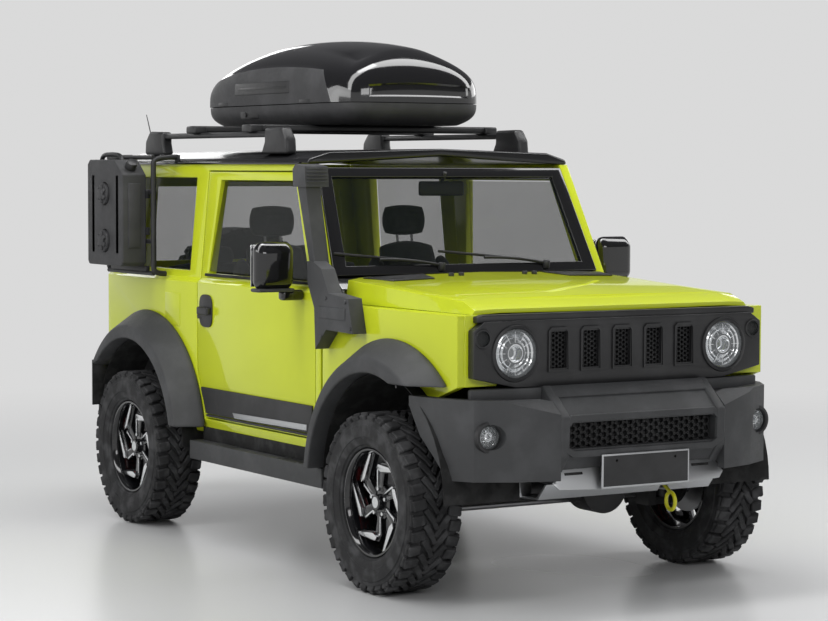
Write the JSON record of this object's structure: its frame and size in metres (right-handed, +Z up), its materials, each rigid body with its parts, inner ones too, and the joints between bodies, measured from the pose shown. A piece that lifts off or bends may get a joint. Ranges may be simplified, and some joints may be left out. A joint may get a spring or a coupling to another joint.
{
  "type": "lifted off-road 4x4",
  "caption": "Short off-road car with raised suspension, side doors, rear door with spare wheel, hood, steering, snorkel, roof box and side fuel can.",
  "frame": {"origin": "on the ground under the middle of the wheelbase, on the centre plane", "axes": "+Z up, -Y towards the front, +X towards the car's left side"},
  "size_m": [1.924, 3.645, 2.262],
  "materials": {
    "body_paint": "gloss lime-yellow paint",
    "black_gloss": "gloss black",
    "black_plastic": "grained dark grey plastic",
    "frame_steel": "black satin chassis paint",
    "tyre": "mud-terrain rubber",
    "rim": "gloss black with bright machined facets",
    "silver_plate": "satin silver",
    "glass": "clear tinted glass",
    "lamp": "clear lamp lens",
    "plate": "blank dark grey plate",
    "seat_cloth": "dark woven cloth",
    "cabin_plastic": "soft grained plastic",
    "tow_yellow": "yellow enamel",
    "box_black": "gloss black lid, grained grey sides",
    "steel": "bare steel"
  },
  "bodies": {
    "car_body": {"chassis_frame": "frame_steel", "floor_pan": "body_paint", "right_body_side": "body_paint", "left_body_side": "body_paint", "quarter_windows": "glass", "front_wings": "body_paint", "windscreen_frame": "black_gloss", "windscreen": "glass", "roof_panel": "black_gloss", "grille_panel": "black_plastic", "front_lamps": "lamp", "front_bumper": "black_plastic", "skid_plate": "silver_plate", "number_plate": "plate", "tow_eyes": "tow_yellow", "fender_flares": "black_plastic", "rock_sliders": "black_plastic", "snorkel": "black_plastic", "roof_rails": "black_plastic", "roof_crossbars": "black_plastic", "roof_box_tray": "box_black", "side_rack": "frame_steel", "fuel_can": "black_plastic", "dashboard": "cabin_plastic", "front_seats": "seat_cloth", "rear_seat": "seat_cloth", "engine_block": "frame_steel", "transfer_case": "silver_plate", "rear_panel": "body_paint", "rear_bumper": "black_plastic", "front_axle": "frame_steel", "rear_axle": "frame_steel", "coil_springs": "frame_steel", "trailing_arms": "frame_steel"},
    "right_door": {"right_door": "body_paint", "right_door_window": "glass", "right_mirror": "black_gloss"},
    "left_door": {"left_door": "body_paint", "left_door_window": "glass", "left_mirror": "black_gloss"},
    "tailgate": {"rear_door": "body_paint", "rear_window": "glass", "spare_rim": "rim", "spare_tyre": "tyre"},
    "hood": {"hood": "body_paint"},
    "roof_box_lid": {"roof_box_lid": "box_black"},
    "steering_wheel": {"steering_wheel": "cabin_plastic"},
    "right_knuckle": {"right_knuckle": "frame_steel"},
    "left_knuckle": {"left_knuckle": "frame_steel"},
    "tie_rod": {"tie_rod": "steel"},
    "front_right_wheel": {"front_right_rim": "rim", "front_right_tyre": "tyre"},
    "front_left_wheel": {"front_left_rim": "rim", "front_left_tyre": "tyre"},
    "rear_right_wheel": {"rear_right_rim": "rim", "rear_right_tyre": "tyre"},
    "rear_left_wheel": {"rear_left_rim": "rim", "rear_left_tyre": "tyre"}
  },
  "joints": [
    {"name": "right_door_hinge", "type": "hinge", "parent": "car_body", "child": "right_door", "pos_m": [-0.743, -0.5, 0.9], "axis": [0, 0, 1], "range_deg": [0, 65]},
    {"name": "left_door_hinge", "type": "hinge", "parent": "car_body", "child": "left_door", "pos_m": [0.743, -0.5, 0.9], "axis": [0, 0, -1], "range_deg": [0, 65]},
    {"name": "tailgate_hinge", "type": "hinge", "parent": "car_body", "child": "tailgate", "pos_m": [-0.596, 1.61, 1], "axis": [0, 0, 1], "range_deg": [0, 90]},
    {"name": "hood_hinge", "type": "hinge", "parent": "car_body", "child": "hood", "pos_m": [0, -0.618, 1.205], "axis": [-1, 0, 0], "range_deg": [0, 60]},
    {"name": "roof_box_hinge", "type": "hinge", "parent": "car_body", "child": "roof_box_lid", "pos_m": [0.386, 0.605, 1.961], "axis": [0, 1, 0], "range_deg": [0, 55]},
    {"name": "left_steer", "type": "hinge", "parent": "car_body", "child": "left_knuckle", "pos_m": [0.59, -1.125, 0.359], "axis": [0, 0, 1], "range_deg": [-25, 25]},
    {"name": "right_steer", "type": "hinge", "parent": "car_body", "child": "right_knuckle", "pos_m": [-0.59, -1.125, 0.359], "axis": [0, 0, 1], "range_deg": [-25, 25]},
    {"name": "steering_wheel_turn", "type": "hinge", "parent": "car_body", "child": "steering_wheel", "pos_m": [0.365, -0.196, 1.028], "axis": [0, 0.9063, 0.4226], "range_deg": [-400, 400]},
    {"name": "tie_rod_travel", "type": "slide", "parent": "car_body", "child": "tie_rod", "axis": [1, 0, 0], "range_m": [-0.06, 0.06]},
    {"name": "front_right_spin", "type": "hinge", "parent": "right_knuckle", "child": "front_right_wheel", "pos_m": [-0.745, -1.125, 0.359], "axis": [1, 0, 0], "continuous": true},
    {"name": "front_left_spin", "type": "hinge", "parent": "left_knuckle", "child": "front_left_wheel", "pos_m": [0.745, -1.125, 0.359], "axis": [1, 0, 0], "continuous": true},
    {"name": "rear_right_spin", "type": "hinge", "parent": "car_body", "child": "rear_right_wheel", "pos_m": [-0.745, 1.125, 0.359], "axis": [1, 0, 0], "continuous": true},
    {"name": "rear_left_spin", "type": "hinge", "parent": "car_body", "child": "rear_left_wheel", "pos_m": [0.745, 1.125, 0.359], "axis": [1, 0, 0], "continuous": true}
  ],
  "couplings": [
    {"joint": "right_steer", "follows": "left_steer", "ratio": 1},
    {"joint": "steering_wheel_turn", "follows": "left_steer", "ratio": 16},
    {"joint": "tie_rod_travel", "follows": "left_steer", "m_per_rad": -0.1308}
  ]
}
